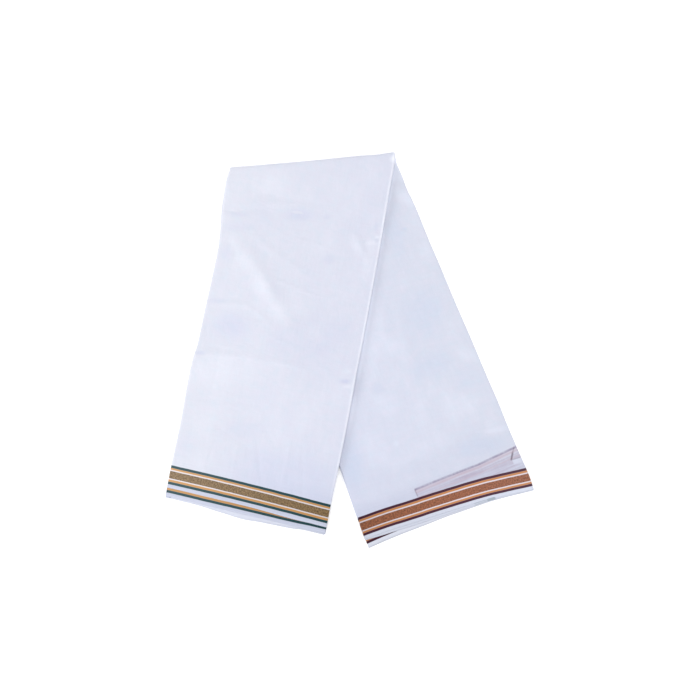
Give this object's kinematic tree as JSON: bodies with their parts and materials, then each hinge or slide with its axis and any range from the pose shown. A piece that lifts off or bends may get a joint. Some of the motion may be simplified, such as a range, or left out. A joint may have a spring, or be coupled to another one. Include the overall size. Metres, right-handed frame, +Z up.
{
  "type": "dhoti",
  "caption": "White cotton dhoti cloth, folded lengthwise to a flat strip and turned over once into an open V, with a gold-brown woven border at each hem",
  "frame": {"origin": "the middle of the part's footprint, on the surface that it lies on", "axes": "+Z up from the surface, +Y towards the turn at the top, +X towards the back leaf's hem"},
  "size_m": [0.5664, 0.6084, 0.0125],
  "materials": {
    "white_cotton": "plain-woven bleached cotton, matt",
    "white_cotton_inside": "plain-woven bleached cotton, matt"
  },
  "bodies": {
    "root": {"front_top_layer": "white_cotton", "front_second_layer": "white_cotton", "front_inner_layers": "white_cotton_inside", "back_top_layer": "white_cotton", "back_second_layer": "white_cotton", "back_inner_layers": "white_cotton_inside"}
  },
  "joints": []
}
